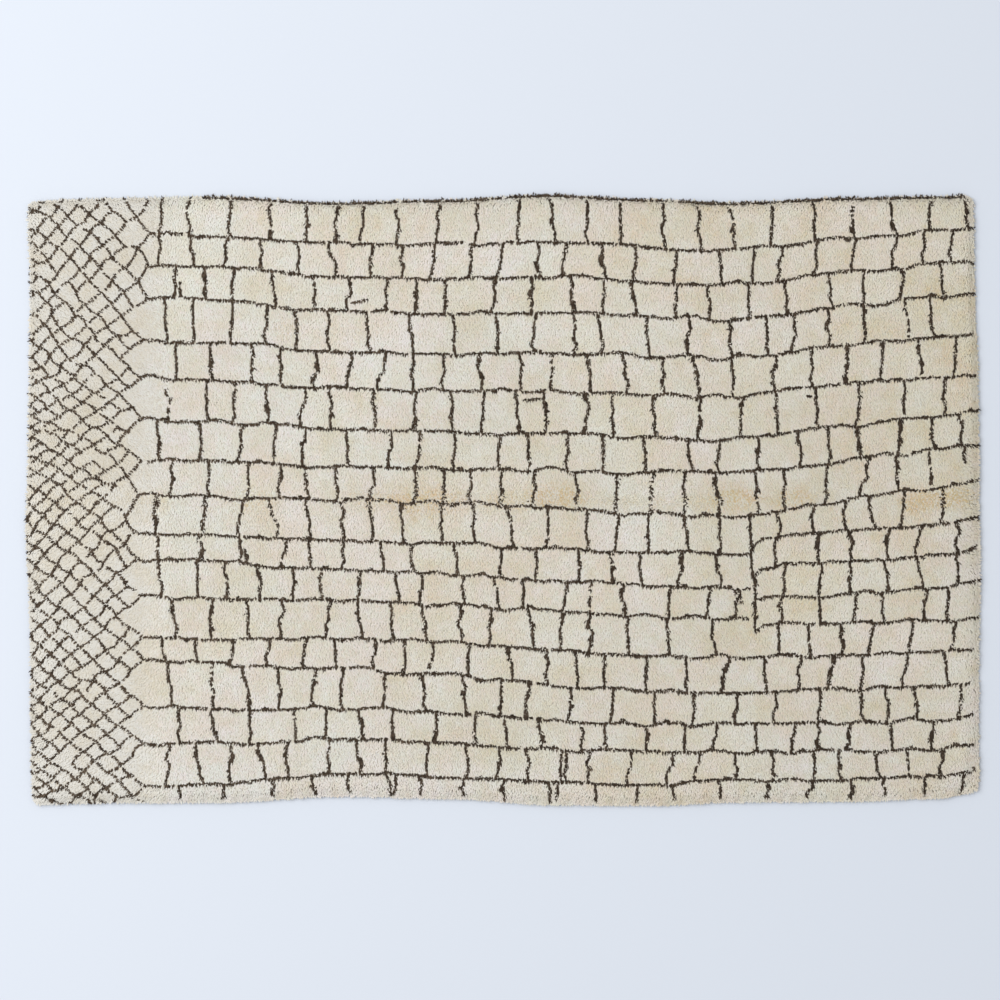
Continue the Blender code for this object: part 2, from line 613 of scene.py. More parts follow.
@dataclass(frozen=True)
class UprightHabits:
    """How the weaver varies the uprights. Sizes are in metres, and the rest are shares of the uprights.

    Attributes:
        slant: how far a foot or a head is to either side of its place, at most.
        low_slant: the same for the uprights along the rug's lower side.
        low_gap: how much wider those stand apart than the others.
        low_foot: height of their feet over the rug's lower side, least and greatest.
        doubled: have a second line beside them.
        beside: how far beside them it is, least and greatest.
        halved: are only half as long, but never along the lower side.
        second_halved: the same for the second lines.
        upper_half: of the halved ones, are the half that hangs from the course above.
        stepped: are either halved or step one knot to the side on the way up.
        faint: miss a quarter of their knots.
        heavy: are two knots wide along much of their length.
        waver: how far they waver to either side.
        waver_size: how far apart the highs and lows of that are.
    """

    slant: float = 0.011
    low_slant: float = 0.004
    low_gap: float = 1.15
    low_foot: tuple[float, float] = (0.010, 0.020)
    doubled: float = 0.03
    beside: tuple[float, float] = (0.015, 0.022)
    halved: float = 0.01
    second_halved: float = 0.5
    upper_half: float = 0.6
    stepped: float = 0.16
    faint: float = 0.05
    heavy: float = 0.15
    waver: float = 0.006
    waver_size: float = 0.03


@dataclass
class SquareNet:
    """The net of uneven squares: long courses, and short uprights between them.

    Attributes:
        chart: the chart that its lines are counted into.
        strip: the diamonds, beside which the courses start.
        seam: how far along the rug the seam is, where the courses are out of step.
        seam_reach: the heights between which an upright stands on the seam.
        seam_dip: how far the courses right of the seam dip where they meet it.
        square: how far apart the uprights are.
        uneven: how much wider or narrower a square may be, as a share.
        waver: how far a course wavers up and down.
        stations: how far along the rug a course's four heights are.
        full_above: courses whose right end is higher than this, in centimetres, go on to the very edge.
        first_upright: where the first upright of each band stands, a bit of chance aside.
        after_seam: how far right of the seam it stands where the seam parts the band.
        before_seam: how far left of the seam the last upright is then, at least.
        before_end: how far from the right end the last upright is, at least.
        edge_from: where the dark edge along the rug's upper side starts.
        edge_run: length of one run of the dark edge, least and greatest.
        edge_gap: length of the gap after it, at most.
        strays: short lines that belong to no square.
        habits: how the uprights vary.
        seed: picks one net out of all there could be.
    """

    chart: KnotChart
    strip: DiamondStrip
    seam: float = 2.285
    seam_reach: tuple[float, float] = (0.56, 0.93)
    seam_dip: float = 0.020
    square: float = 0.113
    uneven: float = 0.24
    waver: float = 0.0072
    stations: tuple[float, ...] = (0.40, 1.18, 2.20, 2.93)
    full_above: float = 50.0
    first_upright: float = 0.42
    after_seam: float = 0.06
    before_seam: float = 0.045
    before_end: float = 0.025
    edge_from: float = 0.555
    edge_run: tuple[float, float] = (0.35, 0.9)
    edge_gap: float = 0.03
    strays: int = 3
    habits: UprightHabits = UprightHabits()
    seed: int = 5

    def __post_init__(self) -> None:
        """Readies the weaver's hand."""
        self.chance = np.random.default_rng(self.seed)

    def course_height(self, course: Course, x: np.ndarray) -> np.ndarray:
        """The height of a course, in metres.

        Args:
            course: the course.
            x: loom places along the rug.

        Returns:
            Its height above the rug's lower side at each place.
        """
        stations = self.stations
        heights = np.array([course.left, course.third, course.seam, course.right]) / 100
        own = int(course.left * 10)
        sway = self.waver * Drift(0.075, own).at(x) + 0.4 * self.waver * Drift(0.022, own + 1).at(x)
        if course.span is Span.FROM_SEAM:
            stations, heights = stations[2:], heights[2:]
            sway = sway - self.seam_dip * ramp(self.seam + 0.035, self.seam, x)
        return np.interp(x, stations, heights) + sway

    def courses_at(self, right_of_seam: bool) -> list[Course]:
        """The courses on one side of the seam, from the lowest up."""
        left_out = Span.TO_SEAM if right_of_seam else Span.FROM_SEAM
        return sorted((c for c in COURSES if c.span is not left_out), key=lambda c: c.seam)

    def knot(self) -> None:
        """Draws the whole net on the chart."""
        for course in COURSES:
            start = self.strip.reach(course.left / 100) + max(0.0, self.chance.uniform(-0.06, 0.025))
            first = self.seam if course.span is Span.FROM_SEAM else start
            past_end = 0.018 if course.right > self.full_above else 0.0
            end = self.chart.length - self.chance.uniform(0.008, 0.017) + past_end
            last = self.seam if course.span is Span.TO_SEAM else end
            x = np.arange(first, last, 0.01)
            line = np.stack([x, self.course_height(course, x)], 1)
            self.chart.draw(line, self.chance, missed=0.006, spread=0.95)
        for right_of_seam in (False, True):
            courses = self.courses_at(right_of_seam)
            first = self.seam + self.after_seam if right_of_seam else self.first_upright
            for lower, upper in zip([None, *courses], [*courses, None]):
                parted = any(course and course.span is not Span.WHOLE for course in (lower, upper))
                to_seam = parted and not right_of_seam
                last = self.seam - self.before_seam if to_seam else self.chart.length - self.before_end
                if parted or not right_of_seam:
                    self._uprights(lower, upper, first, last)
        self._seam_upright()
        self._top_side()
        self._strays()

    def _uprights(self, lower: Course | None, upper: Course | None, first: float, last: float) -> None:
        """Draws the uprights of one band.

        Args:
            lower: the course under the band, or None along the rug's lower side.
            upper: the course over the band, or None along the rug's upper side.
            first: where the first upright stands, a bit of chance aside.
            last: where no more uprights are started.
        """
        habits = self.habits
        x = first + self.chance.uniform(-0.10, 0.45) * self.square
        gap = self.square * (1.0 if lower else habits.low_gap)
        slant = habits.slant if lower else habits.low_slant
        while x < last:
            foot, head = x + self.chance.uniform(-slant, slant, 2)
            if lower:
                bottom = self.course_height(lower, np.array([foot]))[0]
            else:
                bottom = self.chance.uniform(*habits.low_foot)
            top = self.course_height(upper, np.array([head]))[0] if upper else self.chart.width
            self._upright((foot, bottom), (head, top), habits.halved if lower else 0.0)
            if self.chance.random() < habits.doubled:
                beside = self.chance.uniform(*habits.beside)
                self._upright((foot + beside, bottom), (head + beside, top), habits.second_halved)
            x += gap * (1 + self.chance.uniform(-self.uneven, self.uneven))

    def _upright(self, foot: tuple[float, float], head: tuple[float, float], halved: float) -> None:
        """Draws one upright: a wavering line, now and then left short or stepped to the side.

        Args:
            foot: the loom place of its lower end.
            head: the loom place of its upper end.
            halved: how likely it is to be only half as long.
        """
        habits = self.habits
        (x0, y0), (x1, y1) = foot, head
        share = np.linspace(0.0, 1.0, 12)
        own = int(x0 * 9000) % 9973
        x = x0 + (x1 - x0) * share + habits.waver * Drift(habits.waver_size, own).at(share * (y1 - y0))
        y = y0 + (y1 - y0) * share
        kept = np.ones(len(share), bool)
        kind = self.chance.random()
        if kind < halved:
            kept = share > 0.5 if self.chance.random() < habits.upper_half else share < 0.5
        elif kind < habits.stepped:
            past_step = share > self.chance.uniform(0.35, 0.65)
            x = x + past_step * self.chance.choice((-1, 1)) * self.chart.pitch_along
        missed = 0.25 if self.chance.random() < habits.faint else 0.01
        thick = 0.4 if self.chance.random() < habits.heavy else 0.06
        self.chart.draw(np.stack([x, y], 1)[kept], self.chance, missed=missed, thick=thick)

    def _seam_upright(self) -> None:
        """Draws the long upright on which the courses left and right of the seam end."""
        y = np.linspace(*self.seam_reach, 30)
        x = self.seam + 0.008 * Drift(0.06, 77).at(y)
        self.chart.draw(np.stack([x, y], 1), self.chance, thick=0.15)

    def _top_side(self) -> None:
        """Draws the dark edge along the rug's upper side, with its gaps."""
        x = self.edge_from
        while x < self.chart.length - 0.03:
            stretch = self.chance.uniform(*self.edge_run)
            run = np.arange(x, min(x + stretch, self.chart.length - 0.015), 0.01)
            knots_down = 0.72 + 0.22 * Drift(0.05, 78).at(run)
            height = self.chart.width - knots_down * self.chart.pitch_across
            self.chart.draw(np.stack([run, height], 1), self.chance, missed=0.05, thick=0.0, spread=0.95)
            x += stretch + self.chance.uniform(0.0, self.edge_gap)

    def _strays(self) -> None:
        """Draws the few short lines that belong to no square, each beside one of the upper courses."""
        for _ in range(self.strays):
            course = COURSES[self.chance.integers(0, 8)]
            x = np.linspace(0.0, self.chance.uniform(0.04, 0.07), 8) + self.chance.uniform(0.7, 2.7)
            slant = self.chance.uniform(-0.35, 0.35)
            start = self.course_height(course, x[:1]) + self.chance.choice((-1, 1)) * 0.026
            y = start + slant * (x - x[0])
            self.chart.draw(np.stack([x, y], 1), self.chance, missed=0.1, thick=0.0, spread=0.9)


class Stain(NamedTuple):
    """A patch where the wool has yellowed, in metres from the rug's middle.

    Attributes:
        x: along the rug.
        y: across it.
        size: half its width.
        depth: how far it is yellowed, from 0 to 1.
    """

    x: float
    y: float
    size: float
    depth: float


STAINS = (
    Stain(0.13, 0.018, 0.07, 0.55),
    Stain(0.21, 0.022, 0.05, 0.45),
    Stain(0.72, 0.015, 0.06, 0.55),
    Stain(0.77, 0.008, 0.03, 0.70),
    Stain(0.92, 0.015, 0.06, 0.45),
    Stain(1.07, -0.045, 0.035, 0.40),
    Stain(1.31, -0.002, 0.05, 0.80),
    Stain(1.42, 0.010, 0.05, 0.90),
    Stain(-0.68, 0.54, 0.05, 0.50),
    Stain(-0.80, 0.00, 0.10, 0.35),
    Stain(-0.25, -0.01, 0.11, 0.40),
    Stain(-1.37, 0.005, 0.05, 0.22),
    Stain(-0.22, 0.26, 0.05, 0.35),
)


@dataclass(frozen=True)
class PileLay:
    """Which way the pile lies, how far it leans, and how yellow it has gone.

    Attributes:
        brushed: the way most of the pile leans, as an angle from +X, in degrees.
        strip_turn: how far the pile beside the left end is turned from that.
        turn_size: how far from the rug's middle line three quarters of that turn is reached.
        end_turn: how far the pile at the middle of the right end is turned.
        fold_half_width: of the band of ruffled pile along the old fold.
        fold_height: how far the fold is above the rug's middle line.
        fold_wander: how far the fold strays from there.
        stain_flat: how much wider than high the stains are.
        seed: of its unevenness.
    """

    brushed: float = -90.0
    strip_turn: float = 43.0
    turn_size: float = 0.10
    end_turn: float = 75.0
    fold_half_width: float = 0.030
    fold_height: float = 0.004
    fold_wander: float = 0.012
    stain_flat: float = 1.6
    seed: int = 40

    def ruffle(self, x: np.ndarray, y: np.ndarray) -> np.ndarray:
        """How much the old fold ruffles the pile.

        Args:
            x: places along the rug, from its middle.
            y: places across it, from its middle.

        Returns:
            From 0, not at all, to 1, at each place.
        """
        line = self.fold_wander * Drift(0.5, self.seed).at(x) + self.fold_height
        near = np.exp(-(((y - line) / self.fold_half_width) ** 2))
        patchy = np.clip(0.62 + 0.55 * Drift(0.14, self.seed + 1).at(x, y), 0.1, 1.0)
        return near * patchy * ramp(-1.5, -1.1, x)

    def in_strip(self, x: np.ndarray) -> np.ndarray:
        """How far a place is into the strip of diamonds, from 0 to 1."""
        return ramp(-1.02, -1.16, x)

    def heading(self, x: np.ndarray, y: np.ndarray) -> np.ndarray:
        """The way the pile leans, in radians from +X.

        Args:
            x: places along the rug, from its middle.
            y: places across it, from its middle.

        Returns:
            One angle for each place.
        """
        turn = self.strip_turn * self.in_strip(x) * np.tanh(y / self.turn_size)
        drift = 13.0 * Drift(0.24, self.seed + 2).at(x, y) + 9.0 * Drift(0.06, self.seed + 3).at(x, y)
        at_end = ramp(1.40, 1.48, x) * np.exp(-((y / 0.22) ** 2))
        return np.radians(self.brushed + turn + drift + self.end_turn * at_end)

    def facing(self, x: np.ndarray, y: np.ndarray) -> np.ndarray:
        """How far the pile's upper side faces the way it leans. In the lower strip it faces back."""
        return 0.25 + self.in_strip(x) * (0.15 * np.tanh(y / self.turn_size) - 0.28)

    def yellowing(self, x: np.ndarray, y: np.ndarray) -> np.ndarray:
        """How yellow the cream wool is, from 0, palest, to 1, tan. It gets yellower to the right."""
        tone = 0.34 + 0.095 * x + 0.035 * y
        tone = tone + 0.14 * Drift(0.11, self.seed + 4).at(x, y) + 0.08 * Drift(0.45, self.seed + 5).at(x, y)
        return tone + 0.13 * Drift(0.028, self.seed + 6).at(x, y)

    def staining(self, x: np.ndarray, y: np.ndarray) -> np.ndarray:
        """How stained the cream wool is, along the old fold and in the stains.

        Args:
            x: places along the rug, from its middle.
            y: places across it, from its middle.

        Returns:
            What the stains add to the yellowing at each place.
        """
        stained = 0.16 * self.ruffle(x, y)
        for stain in STAINS:
            off = ((x - stain.x) ** 2 + ((y - stain.y) * self.stain_flat) ** 2) / stain.size**2
            stained = stained + 0.45 * stain.depth * np.exp(-off)
        return stained

    def tint(self, x: np.ndarray, y: np.ndarray, chance: np.random.Generator) -> np.ndarray:
        """The tint of each strand of cream wool.

        Args:
            x: places along the rug, from its middle.
            y: places across it, from its middle.
            chance: what differs from strand to strand.

        Returns:
            Greenish (-1), plain (0), pinkish (1) or, in the strip of diamonds, greyed darker (2) as painted
            shade.
        """
        tint = 0.9 * Drift(0.024, self.seed + 7).at(x, y) + 0.9 * Drift(0.13, self.seed + 8).at(x, y)
        tint = np.clip(tint + chance.normal(0.0, 0.50, len(x)), -1, 1)
        # In the strip of diamonds most strands take the greyed row: painted shade of the strip's pile.
        return np.where(chance.random(len(x)) < self.in_strip(x), 2.0, tint)


@dataclass(frozen=True)
class WoolFinish:
    """The look of one wool: its shades from palest to deepest, and how it takes the light.

    The shades are laid out in one row for each tint, end to end.

    Attributes:
        name: of the material.
        shades: (place from 0 to 1, colour) from the palest to the deepest.
        root: how dark the wool is painted at its root, as a share of its tip: painted shade of the pile
            around the roots.
        sheen: of the loose fibres.
        tints: what the shades' colours are multiplied by, for each tint.
    """

    name: str
    shades: tuple[tuple[float, tuple[float, float, float]], ...]
    root: float
    sheen: float
    tints: tuple[tuple[float, float, float], ...] = ((1.0, 1.0, 1.0),)

    def place(self, shade: np.ndarray, tint: np.ndarray | float) -> np.ndarray:
        """Where wool of a shade from 0 to 1 and a tint from -1 up is on the rows of shades."""
        row = np.clip(np.round(tint + 1), 0, len(self.tints) - 1)
        return (row + np.clip(shade, 0.04, 0.96)) / len(self.tints)

    def material(self) -> bpy.types.Material:
        """Makes the material. Its colour follows the strand's own shade, darkened toward the root as painted
        shade.

        Returns:
            The material.
        """
        made = matte_finish(self.name, roughness=0.92, gloss=0.18)
        nodes, links = made.node_tree.nodes, made.node_tree.links
        shader = nodes[SHADER]
        shader.inputs["Sheen Weight"].default_value = self.sheen
        shader.inputs["Sheen Roughness"].default_value = 0.55

        layout = nodes.new("ShaderNodeUVMap")
        layout.uv_map = UV_NAME
        parts = nodes.new("ShaderNodeSeparateXYZ")
        links.new(layout.outputs["UV"], parts.inputs["Vector"])
        shade = nodes.new("ShaderNodeValToRGB")
        shade.color_ramp.elements.remove(shade.color_ramp.elements[1])
        for row, tint in enumerate(self.tints):
            for place, colour in self.shades:
                at = (row + 0.01 + 0.98 * place) / len(self.tints)
                stop = shade.color_ramp.elements.new(at)
                stop.color = (*(part * share for part, share in zip(colour, tint)), 1.0)
        shade.color_ramp.elements.remove(shade.color_ramp.elements[0])
        links.new(parts.outputs["X"], shade.inputs["Fac"])
        # Painted shade: the colour darkens from the tip down to the root, where the pile shades itself.
        depth = nodes.new("ShaderNodeMapRange")
        depth.interpolation_type = "SMOOTHSTEP"
        depth.inputs["From Min"].default_value = 0.0
        depth.inputs["From Max"].default_value = 0.75
        depth.inputs["To Min"].default_value = self.root
        depth.inputs["To Max"].default_value = 1.0
        links.new(parts.outputs["Y"], depth.inputs["Value"])
        root_painted_shade = nodes.new("ShaderNodeVectorMath")
        root_painted_shade.operation = "SCALE"
        links.new(shade.outputs["Color"], root_painted_shade.inputs[0])
        links.new(depth.outputs["Result"], root_painted_shade.inputs["Scale"])
        links.new(root_painted_shade.outputs["Vector"], shader.inputs["Base Color"])

        place = nodes.new("ShaderNodeTexCoord")
        fibre = nodes.new("ShaderNodeTexNoise")
        fibre.inputs["Scale"].default_value = 700.0
        fibre.inputs["Detail"].default_value = 1.0
        links.new(place.outputs["Object"], fibre.inputs["Vector"])
        add_bump(made, fibre.outputs["Fac"], strength=0.35, depth=0.0006)
        return made


CREAM_FINISH = WoolFinish(
    name="cream_wool_pile",
    shades=(
        (0.00, (0.825, 0.808, 0.755)),
        (0.30, (0.785, 0.738, 0.638)),
        (0.60, (0.735, 0.658, 0.508)),
        (1.00, (0.67, 0.51, 0.28)),
    ),
    # root: painted shade at the strands' roots
    root=0.88,
    sheen=0.20,
    # The last tint greys the wool darker: painted shade for the strip of diamonds.
    tints=((0.98, 1.002, 0.985), (1.0, 0.998, 1.0), (1.02, 0.985, 1.015), (0.930, 0.923, 0.915)),
)
DARK_FINISH = WoolFinish(
    name="dark_wool_pile",
    shades=(
        (0.00, (0.028, 0.018, 0.011)),
        (0.50, (0.056, 0.038, 0.025)),
        (1.00, (0.140, 0.102, 0.070)),
    ),
    # root: painted shade at the strands' roots
    root=0.80,
    sheen=0.08,
)


@dataclass
class StrandBed:
    """Strands of wool, gathered before they are made into one mesh.

    Each strand is a bent kite of two faces: it rises from its root to its shoulders, and runs on to its
    tip, which hangs a little lower. Its normals are those of a round strand that lies among others.

    Attributes:
        root: where each strand is tied, one row each.
        heading: the way it leans, in radians.
        reach: how far over the floor its tip is from its root.
        rise: how high its shoulders are over its root.
        width: from shoulder to shoulder.
        shade: where its wool is on the finish's rows of shades.
        droop: how much lower the tip is than the shoulders, as a share of the rise.
        tilt: how far the strand's upper side faces the way it leans.
    """

    root: np.ndarray
    heading: np.ndarray
    reach: np.ndarray
    rise: np.ndarray
    width: np.ndarray
    shade: np.ndarray
    droop: np.ndarray
    tilt: np.ndarray

    def part(self, chosen: np.ndarray) -> "StrandBed":
        """Some of the strands, as a bed of their own."""
        return StrandBed(*(getattr(self, quality.name)[chosen] for quality in fields(self)))

    def _corners(self) -> tuple[np.ndarray, np.ndarray]:
        """The corners of all the kites: root, left shoulder, right shoulder and tip.

        Returns:
            Four places for each strand, and a normal for each of those, one after the other.
        """
        count = len(self.heading)
        forward = np.stack([np.cos(self.heading), np.sin(self.heading), np.zeros(count)], 1)
        sideways = np.stack([-forward[:, 1], forward[:, 0], np.zeros(count)], 1)
        up = np.array([0.0, 0.0, 1.0])
        half = 0.5 * self.width[:, None]
        shoulder = self.root + forward * (0.6 * self.reach)[:, None] + up * self.rise[:, None]
        tip = self.root + forward * self.reach[:, None] + up * (self.rise * (1 - self.droop))[:, None]
        points = np.stack([self.root, shoulder - sideways * half, shoulder + sideways * half, tip], 1)
        facing = up + self.tilt[:, None] * forward
        turned = (-0.3 * forward, -0.4 * sideways, 0.4 * sideways, 0.2 * forward)
        normals = np.stack([facing + turn for turn in turned], 1).reshape(-1, 3)
        return points, normals / np.linalg.norm(normals, axis=1)[:, None]

    def mesh(self, name: str) -> bpy.types.Object:
        """Makes the strands into one object.

        Args:
            name: of the object.

        Returns:
            The object, in the scene.
        """
        count = len(self.heading)
        points, normals = self._corners()
        faces = (np.arange(count)[:, None] * 4 + np.array([0, 1, 2, 2, 1, 3])).reshape(-1)
        data = bpy.data.meshes.new(name)
        data.vertices.add(count * 4)
        data.vertices.foreach_set("co", points.astype(np.float32).reshape(-1))
        data.loops.add(len(faces))
        data.loops.foreach_set("vertex_index", faces.astype(np.int32))
        data.polygons.add(count * 2)
        data.polygons.foreach_set("loop_start", np.arange(0, count * 6, 3, dtype=np.int32))
        data.polygons.foreach_set("use_smooth", np.ones(count * 2, bool))
        across = np.array([0.0, -0.002, 0.002, 0.0])
        # from root to tip along the strand; the finish paints shade toward the root
        along = np.array([0.02, 0.60, 0.60, 0.98])
        shade = np.clip(self.shade, 0.01, 0.99)
        layout = np.stack([shade[:, None] + across, np.broadcast_to(along, (count, 4))], 2).reshape(-1, 2)
        uv = data.uv_layers.new(name=UV_NAME)
        uv.data.foreach_set("uv", layout[faces].astype(np.float32).reshape(-1))
        data.update()
        data.normals_split_custom_set_from_vertices(normals)
        return in_scene(name, data)


@dataclass(frozen=True)
class StrandHabits:
    """How the strands of the knots differ. A pair holds the least and the greatest.

    Attributes:
        reach: shares of a usual strand's reach, squared for a dark strand.
        rise: shares of the height from the bed to the pile's top.
        width: shares of a usual strand's width.
        droop: how much lower than the shoulders the tips are, as shares of the rise.
        stray: how far they lean from the way the pile lies there, in radians.
        ruffled_stray: how much farther they may lean from it in the old fold.
        loose_stray: the same at the rim.
        loose_width: of the rim where the pile is loose, fully and partly.
    """

    reach: tuple[float, float] = (0.8, 1.2)
    rise: tuple[float, float] = (0.88, 1.06)
    width: tuple[float, float] = (0.8, 1.2)
    droop: tuple[float, float] = (0.05, 0.3)
    stray: float = 0.21
    ruffled_stray: float = 1.3
    loose_stray: float = 0.6
    loose_width: tuple[float, float] = (0.004, 0.018)


@dataclass(frozen=True)
class RimHabits:
    """How the strands that hang over the rim differ. A pair holds the least and the greatest.

    Attributes:
        spacing: from one to the next, along the rim.
        inset: how far in from the rim they are tied, at most.
        reach: how far out they hang.
        wisp: how much farther a wisp hangs out.
        wisps: share of the strands that are wisps.
        rise: how high their shoulders are over a root on the floor.
        steeper: how much higher they are for roots higher up, as a share of the root's height.
        width: shares of a usual strand's width.
        droop: how much lower than the shoulders the tips are, as shares of the rise.
        stray: how far they lean from straight out, in radians.
        carried: how far the pile's lean carries the wool of a knot toward the rim.
        dark: share of the strands beside a dark knot that are dark.
        uneven: how much they differ in shade.
        tilt: how far their upper sides face outward.
    """

    spacing: float = 0.0010
    inset: float = 0.007
    reach: tuple[float, float] = (0.004, 0.010)
    wisp: float = 0.006
    wisps: float = 0.2
    rise: float = 0.0025
    steeper: float = 0.2
    width: tuple[float, float] = (0.7, 1.1)
    droop: tuple[float, float] = (0.4, 1.6)
    stray: float = 0.5
    carried: float = 0.006
    dark: float = 0.6
    uneven: float = 0.05
    tilt: float = 0.2


@dataclass
class Ties:
    """Where every strand of the knots is tied.

    Attributes:
        row: of its knot on the chart.
        column: of its knot on the chart.
        own: how its knot differs from the others, the same for all the knot's strands.
        dark: whether it is dark wool.
        in_strip: how far a dark strand is into the strip of diamonds, and 0 for a cream one.
        u: share of the rug's length.
        v: share of its width.
    """

    row: np.ndarray
    column: np.ndarray
    own: np.ndarray
    dark: np.ndarray
    in_strip: np.ndarray
    u: np.ndarray
    v: np.ndarray


@dataclass
class Pile:
    """All the pile on the rug: the strands of every knot, and those that hang over the rim.

    Attributes:
        plan: the rug's outline and heights.
        chart: which knots hold dark wool.
        lay: which way the pile leans.
        depth: how far under the pile's top the strands come free of each other.
        reach: how far a usual strand leans over its neighbours.
        width: of a usual strand.
        strands: for each knot. A dark knot has one more.
        full_rim: width of the rim whose knots grow twice as many, so that the weave doesn't show from beside.
        most: strands in one piece, at most.
        habits: how the strands of the knots differ.
        rim_habits: how the strands that hang over the rim differ.
        seed: of the strands' differences.
        pieces: what has been made.
    """

    plan: RugPlan
    chart: KnotChart
    lay: PileLay
    depth: float = 0.0052
    reach: float = 0.0155
    width: float = 0.0042
    strands: int = 5
    full_rim: float = 0.014
    most: int = 90000
    habits: StrandHabits = StrandHabits()
    rim_habits: RimHabits = RimHabits()
    seed: int = 11
    pieces: list[bpy.types.Object] = field(default_factory=list)

    def _tie(self, chance: np.random.Generator) -> Ties:
        """Ties the strands of every knot.

        A knot's strands stand side by side. Cream ones fill the knot, and dark ones are gathered where the
        line crosses it. In the topmost row some strands of the dark knots are cream.

        Args:
            chance: what differs from strand to strand.

        Returns:
            Where each strand is tied.
        """
        chart = self.chart
        rows, columns = (part.reshape(-1) for part in np.indices(chart.dark.shape))
        each = np.where(chart.dark.reshape(-1), self.strands + 1, self.strands)
        rim = self.plan.to_rim((columns + 0.5) / chart.columns, (rows + 0.5) / chart.rows)[0]
        each = np.where(rim < self.full_rim, 2 * each, each)
        own = np.repeat(chance.normal(0.0, 1.0, len(rows)), each)
        first = np.repeat(np.cumsum(each) - each, each)
        across = (np.arange(each.sum()) - first + 0.5) / np.repeat(each, each) - 0.5
        rows, columns = np.repeat(rows, each), np.repeat(columns, each)
        count = len(rows)
        left_dark = np.clip(0.55 + 0.22 * own, 0.2, 1.0)
        mixed = (rows == chart.rows - 1) & (chance.random(count) > left_dark)
        dark, shift = chart.dark[rows, columns] & ~mixed, chart.shift[rows, columns]
        across = 0.9 * across + chance.uniform(-0.12, 0.12, count)
        along = chance.uniform(-0.5, 0.5, count)
        middle = self.plan.place((columns + 0.5) / chart.columns, (rows + 0.5) / chart.rows)
        lean = self.lay.heading(*middle)
        gathered = across * chart.pitch_along * chart.spread[rows, columns]
        spread = along * chart.pitch_across * 0.55
        aside = gathered * np.sin(lean) + spread * np.cos(lean)
        onward = -gathered * np.cos(lean) + spread * np.sin(lean)
        in_column = np.where(dark, shift[:, 0] + aside / chart.pitch_along, across)
        in_row = np.where(dark, shift[:, 1] + onward / chart.pitch_across, along)
        return Ties(
            row=rows,
            column=columns,
            own=own,
            dark=dark,
            in_strip=dark * self.lay.in_strip(middle[0]),
            u=np.clip((columns + 0.5 + in_column) / chart.columns, 0.0005, 0.9995),
            v=np.clip((rows + 0.5 + in_row) / chart.rows, 0.0005, 0.9995),
        )

    def _lean(
        self,
        ties: Ties,
        ruffled: np.ndarray,
        chance: np.random.Generator,
    ) -> tuple[np.ndarray, np.ndarray, np.ndarray]:
        """Which way the strands of the knots lean.

        At the rim they are loose and lean more every way. In the topmost row, dark strands that don't end
        an upright lie onto the rug's edge.

        Args:
            ties: where the strands are tied.
            ruffled: how much the old fold ruffles the pile there.
            chance: what differs from strand to strand.

        Returns:
            The way each strand leans, in radians from +X, how much of its full reach it has, and how
            loose it is, from 0 to 1.
        """
        count, habits = len(ties.u), self.habits
        rim, outward = self.plan.to_rim(ties.u, ties.v)
        loose = ramp(habits.loose_width[1], habits.loose_width[0], rim)
        heading = self.lay.heading(*self.plan.place(ties.u, ties.v)) + chance.normal(0.0, habits.stray, count)
        stray = habits.ruffled_stray * ruffled + habits.loose_stray * loose
        heading = heading + stray * chance.uniform(-1.0, 1.0, count)
        dark_below = self.chart.dark[np.maximum(ties.row - 1, 0), ties.column]
        ends_upright = dark_below & (chance.random(count) < 0.6)
        onto_edge = ties.dark & (ties.row == self.chart.rows - 1) & ~ends_upright
        heading = np.where(onto_edge, outward + chance.uniform(-0.9, 0.9, count), heading)
        inward = np.clip(-np.cos(heading - outward), 0.0, 1.0)
        inner = 1 - 0.6 * loose * inward * ~(ties.dark & ends_upright)
        return heading, np.where(onto_edge, chance.uniform(0.05, 0.8, count), inner), loose

    def _grow(self) -> tuple[StrandBed, np.ndarray]:
        """Grows the strands of every knot.

        Returns:
            The strands, and which of them are dark.
        """
        chance = np.random.default_rng(self.seed)
        ties = self._tie(chance)
        count, dark, in_strip, habits = len(ties.u), ties.dark, ties.in_strip, self.habits
        x, y = self.plan.place(ties.u, ties.v)
        ruffled = self.lay.ruffle(x, y)
        heading, kept, loose = self._lean(ties, ruffled, chance)
        uneven = chance.uniform(*habits.reach, count) ** np.where(dark, 2, 1)
        reach = self.reach * uneven * (1 - 0.3 * ruffled) * kept
        reach = reach * (1 - 0.16 * in_strip)
        base = self.plan.bed(ties.u, ties.v, self.depth)
        over_u = ties.u + 0.6 * reach * np.cos(heading) / self.plan.length
        over_v = ties.v + 0.6 * reach * np.sin(heading) / self.plan.width
        rise = (self.plan.top(over_u, over_v) - base) * chance.uniform(*habits.rise, count)
        rise = rise * (1 + (0.10 + 0.06 * in_strip) * dark) * (1 - 0.2 * loose)
        dark_shade = 0.46 - 0.08 * x + 0.04 * in_strip + 0.16 * ties.own + chance.normal(0.0, 0.14, count)
        cream_shade = self._cream_shade(x, y, 0.03 * ties.own + chance.normal(0.0, 0.065, count), chance)
        bed = StrandBed(
            root=np.stack([x, y, base], 1),
            heading=heading,
            reach=reach,
            rise=rise,
            width=self.width * chance.uniform(*habits.width, count) * (1 - 0.03 * in_strip),
            shade=np.where(dark, DARK_FINISH.place(dark_shade, -1), cream_shade),
            droop=chance.uniform(*habits.droop, count),
            tilt=self.lay.facing(x, y),
        )
        return bed, dark

    def _cream_shade(
        self,
        x: np.ndarray,
        y: np.ndarray,
        uneven: np.ndarray,
        chance: np.random.Generator,
    ) -> np.ndarray:
        """Where the cream wool of each strand is on its finish's rows of shades.

        Args:
            x: places along the rug.
            y: places across it.
            uneven: what makes a strand deeper or paler than others there.
            chance: what else differs from strand to strand.

        Returns:
            One place for each strand.
        """
        speckled = self.lay.staining(x, y) * chance.choice((0.2, 1.0, 2.2), len(x), p=(0.4, 0.35, 0.25))
        return CREAM_FINISH.place(self.lay.yellowing(x, y) + speckled + uneven, self.lay.tint(x, y, chance))

